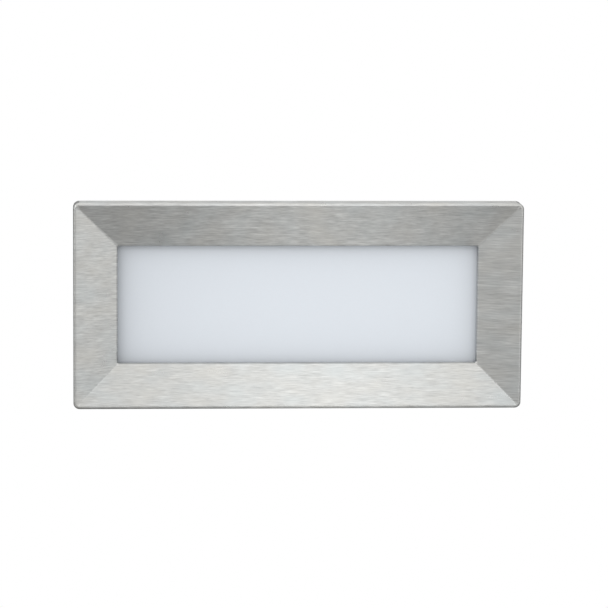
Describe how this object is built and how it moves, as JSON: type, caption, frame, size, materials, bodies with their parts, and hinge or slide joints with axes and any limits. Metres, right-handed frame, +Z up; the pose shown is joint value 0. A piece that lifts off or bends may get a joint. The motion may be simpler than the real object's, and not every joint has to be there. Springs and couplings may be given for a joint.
{
  "type": "recessed wall step light",
  "caption": "Recessed wall step light in brick format: sloped brushed steel fascia round an opal window, a cast lamp module with LED board and driver, and a recess box.",
  "frame": {"origin": "the middle of the fascia, on the wall's surface, which the box's front edge lies flush with", "axes": "+X to the right as the light is seen, +Y into the wall, +Z up; the light faces -Y"},
  "size_m": [0.23, 0.1034, 0.106],
  "materials": {
    "fascia_steel": "brushed left to right",
    "spring_steel": "bright rolled",
    "opal": "satin opal",
    "seal_rubber": "matt black",
    "seal_foam": "closed-cell foam",
    "cast_body": "die cast, fine grey powder coat",
    "stainless_screw": "plain",
    "zinc_screw": "zinc plated",
    "white_reflector": "matt white",
    "metal_core_board": "white solder mask",
    "led_frame": "white",
    "phosphor": "silicone",
    "connector_plastic": "natural",
    "gap_pad": "silicone",
    "lead_red": "extruded",
    "lead_black": "extruded",
    "lead_brown": "extruded",
    "lead_blue": "extruded",
    "lead_green_yellow": "green with a yellow stripe",
    "driver_plastic": "fine texture",
    "circuit_board": "green solder mask",
    "ferrite": "sintered",
    "winding_tape": "polyester tape",
    "capacitor_sleeve": "shrink sleeve",
    "choke_varnish": "varnished winding",
    "terminal_plastic": "nylon",
    "brass": "turned",
    "gland_plastic": "nylon",
    "box_plastic": "moulded, fine texture"
  },
  "bodies": {
    "box": {"recess_box": "box_plastic", "threaded_inserts": "brass", "entry_grommet": "seal_rubber", "entry_plugs": "gland_plastic", "wall_seal": "seal_foam"},
    "lamp_module": {"diffuser": "opal", "diffuser_seal": "seal_rubber", "diffuser_screws": "stainless_screw", "lamp_body": "cast_body", "retaining_washer_left": "gland_plastic", "retaining_washer_right": "gland_plastic", "light_liner": "white_reflector", "led_board": "metal_core_board", "led_packages": "led_frame", "led_phosphor": "phosphor", "board_screws": "stainless_screw", "board_connector": "connector_plastic", "thermal_pad": "gap_pad", "lead_grommet": "seal_rubber", "led_lead_red": "lead_red", "led_lead_black": "lead_black", "driver_case": "driver_plastic", "driver_lid": "driver_plastic", "driver_board": "circuit_board", "driver_transformer": "ferrite", "driver_winding": "winding_tape", "driver_capacitors": "capacitor_sleeve", "driver_choke": "choke_varnish", "driver_screws": "zinc_screw", "terminal_block": "terminal_plastic", "terminal_clamps": "brass", "terminal_screws": "zinc_screw", "live_lead": "lead_brown", "neutral_lead": "lead_blue", "earth_lead": "lead_green_yellow", "earth_tag": "brass", "earth_screw": "brass", "rear_cover": "cast_body", "rear_cover_seal": "seal_rubber", "rear_cover_screws": "stainless_screw", "breather_vent": "gland_plastic", "gland_body": "gland_plastic", "gland_locknut": "gland_plastic", "gland_washer": "seal_rubber", "gland_nut": "gland_plastic", "gland_seal": "seal_rubber"},
    "fascia": {"fascia": "fascia_steel", "fascia_clips": "spring_steel"},
    "left_screw": {"fixing_screw_left": "stainless_screw"},
    "right_screw": {"fixing_screw_right": "stainless_screw"}
  },
  "joints": [
    {"name": "module_pull", "type": "slide", "parent": "box", "child": "lamp_module", "axis": [0, -1, 0], "range_m": [0, 0.1]},
    {"name": "fascia_pull", "type": "slide", "parent": "lamp_module", "child": "fascia", "axis": [0, -1, 0], "range_m": [0, 0.03], "deforming": ["fascia_clips"]},
    {"name": "left_screw_turn", "type": "hinge", "parent": "lamp_module", "child": "left_screw", "pos_m": [-0.1015, -0.0045, 0], "axis": [0, -1, 0], "continuous": true},
    {"name": "right_screw_turn", "type": "hinge", "parent": "lamp_module", "child": "right_screw", "pos_m": [0.1015, -0.0045, 0], "axis": [0, -1, 0], "continuous": true}
  ]
}
